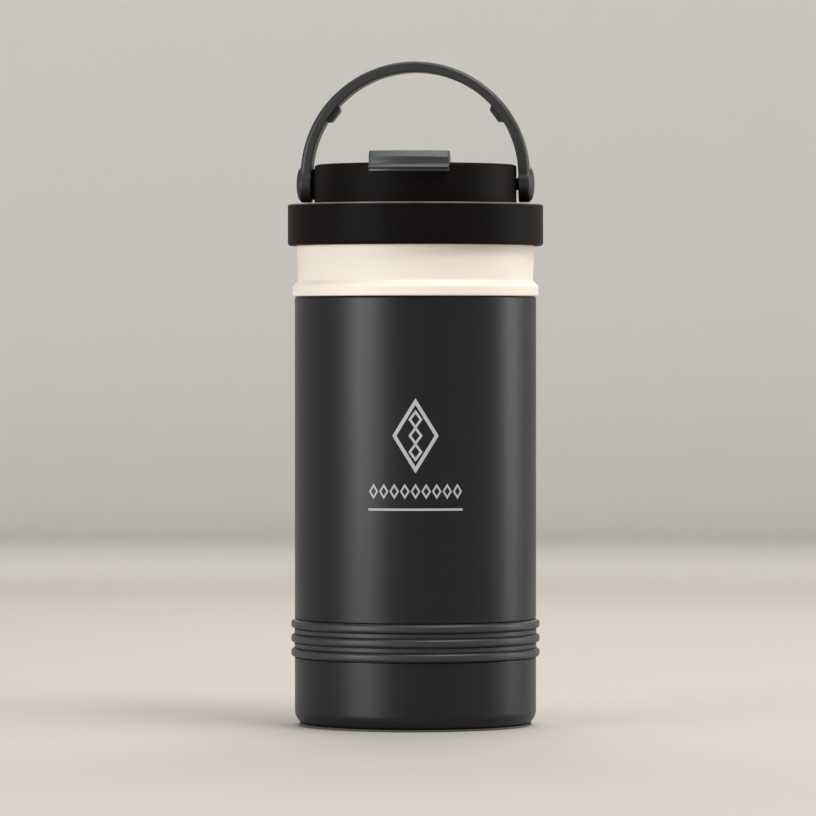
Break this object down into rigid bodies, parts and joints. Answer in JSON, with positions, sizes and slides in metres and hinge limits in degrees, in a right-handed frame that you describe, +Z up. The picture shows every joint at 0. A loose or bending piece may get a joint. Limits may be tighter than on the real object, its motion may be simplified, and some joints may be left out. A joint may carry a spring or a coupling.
{
  "type": "vacuum flask",
  "caption": "Double-walled steel travel mug with a screw lid, a flip cover over the drink hole, a swinging bail handle and a ribbed grip band.",
  "frame": {"origin": "middle of the foot pad's underside, on the surface that the flask stands on", "axes": "+Z up the flask's axis, -Y towards the drinking side with the flap's tab, +X towards the right-hand pivot"},
  "size_m": [0.0804, 0.0804, 0.2087],
  "materials": {
    "shell_black": "satin powder coat",
    "bare_steel": "brushed",
    "cream_plastic": "smooth moulded",
    "lid_black": "fine matte",
    "flap_grey": "fine matte",
    "bail_charcoal": "fine matte",
    "black_silicone": "matte",
    "clear_silicone": "matte",
    "seal_glass": "fused bead",
    "getter_metal": "sintered"
  },
  "bodies": {
    "mug": {"outer_shell": "shell_black", "inner_liner": "bare_steel", "base_plate": "bare_steel", "vacuum_seal": "seal_glass", "getter": "getter_metal", "foot_pad": "black_silicone", "grip_band": "black_silicone", "neck_collar": "cream_plastic"},
    "gasket": {"lid_gasket": "clear_silicone"},
    "lid": {"lid_shell": "lid_black", "lid_deck": "lid_black", "lid_plug": "lid_black", "flap_hinge_pin": "bare_steel", "pivot_pin_left": "bare_steel", "pivot_pin_right": "bare_steel", "detent_washer": "lid_black", "pivot_washer": "lid_black"},
    "flap": {"drink_flap": "flap_grey", "spout_stopper": "clear_silicone", "vent_stopper": "clear_silicone"},
    "handle": {"handle_bail": "bail_charcoal", "pivot_cap_left": "bail_charcoal", "pivot_cap_right": "bail_charcoal"}
  },
  "joints": [
    {"name": "lid_rise", "type": "slide", "parent": "mug", "child": "gasket", "axis": [0, 0, 1], "range_m": [0, 0.024]},
    {"name": "lid_turn", "type": "hinge", "parent": "gasket", "child": "lid", "pos_m": [0, 0, 0.155], "axis": [0, 0, 1], "range_deg": [0, 1080]},
    {"name": "handle_swing", "type": "hinge", "parent": "lid", "child": "handle", "pos_m": [0, 0, 0.1701], "axis": [1, 0, 0], "range_deg": [-90, 90]},
    {"name": "flap_flip", "type": "hinge", "parent": "lid", "child": "flap", "pos_m": [0, -0.011, 0.1776], "axis": [-1, 0, 0], "range_deg": [0, 140]}
  ],
  "couplings": [
    {"joint": "lid_rise", "follows": "lid_turn", "m_per_rad": 0.0012732}
  ]
}
